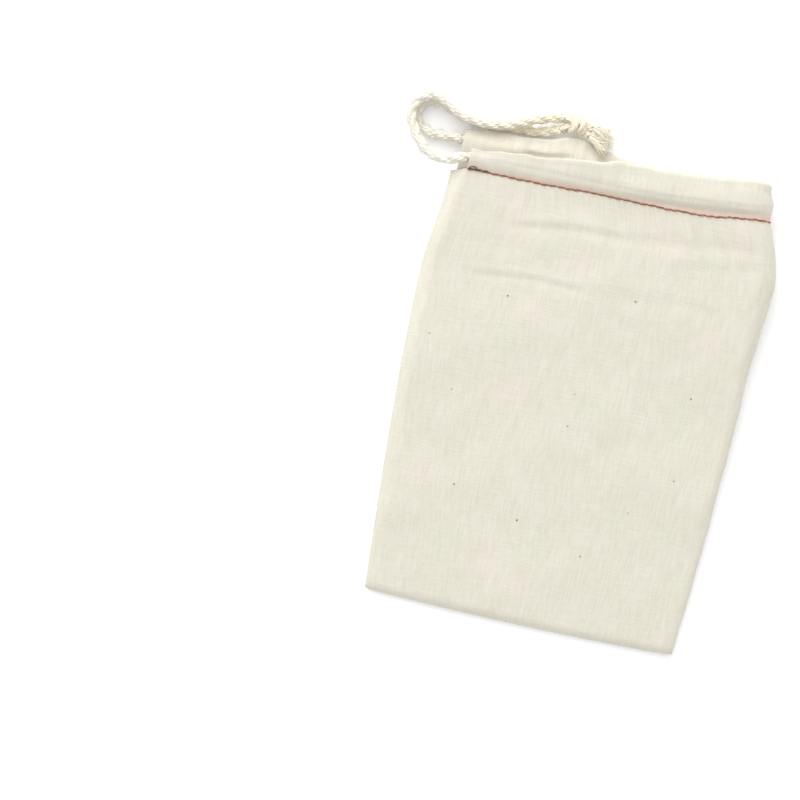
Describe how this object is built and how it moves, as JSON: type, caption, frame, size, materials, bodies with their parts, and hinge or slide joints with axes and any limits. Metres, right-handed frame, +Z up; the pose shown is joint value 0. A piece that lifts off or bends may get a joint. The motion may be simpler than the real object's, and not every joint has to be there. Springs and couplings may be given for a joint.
{
  "type": "drawstring bag",
  "caption": "Small flat drawstring bag of natural cotton muslin, with a red-stitched hem channel, a twisted cotton cord looped out at the left, knotted and frayed at its ends",
  "frame": {"origin": "centre of the cloth's box, on the surface the bag lies on, without the free cord", "axes": "+X across the bag to its folded right-hand side, +Y from the bottom seam to the mouth, +Z up"},
  "size_m": [0.1228, 0.1591, 0.0138],
  "materials": {
    "muslin": "unbleached plain-weave cotton, matt, with slubs and seed specks",
    "seam_muslin": "two layers of the same cotton, raw edges",
    "red_thread": "matt polyester-cotton sewing thread",
    "natural_thread": "matt cotton sewing thread",
    "cotton_cord": "soft three-ply twisted cotton, matt and slightly fuzzy",
    "frayed_cotton": "loose untwisted cotton fibres"
  },
  "bodies": {
    "bag": {"back_panel": "muslin", "front_panel": "muslin", "back_casing": "muslin", "fold_casing": "muslin", "front_casing": "muslin", "front_hem_stitching": "red_thread", "back_hem_stitching": "red_thread", "left_seam_allowance": "seam_muslin", "bottom_seam_allowance": "seam_muslin", "left_seam_overlock": "natural_thread", "bottom_seam_overlock": "natural_thread"},
    "drawstring": {"drawstring_front_run": "cotton_cord", "drawstring_back_run": "cotton_cord", "drawstring_bight": "cotton_cord", "drawstring_front_tail": "cotton_cord", "drawstring_back_tail": "cotton_cord", "drawstring_knot": "cotton_cord", "drawstring_front_tip": "frayed_cotton", "drawstring_back_tip": "frayed_cotton"}
  },
  "joints": [
    {"name": "drawstring_pull", "type": "slide", "parent": "bag", "child": "drawstring", "axis": [-1, 0, 0], "range_m": [0, 0.06], "deforming": ["drawstring_bight"]}
  ]
}
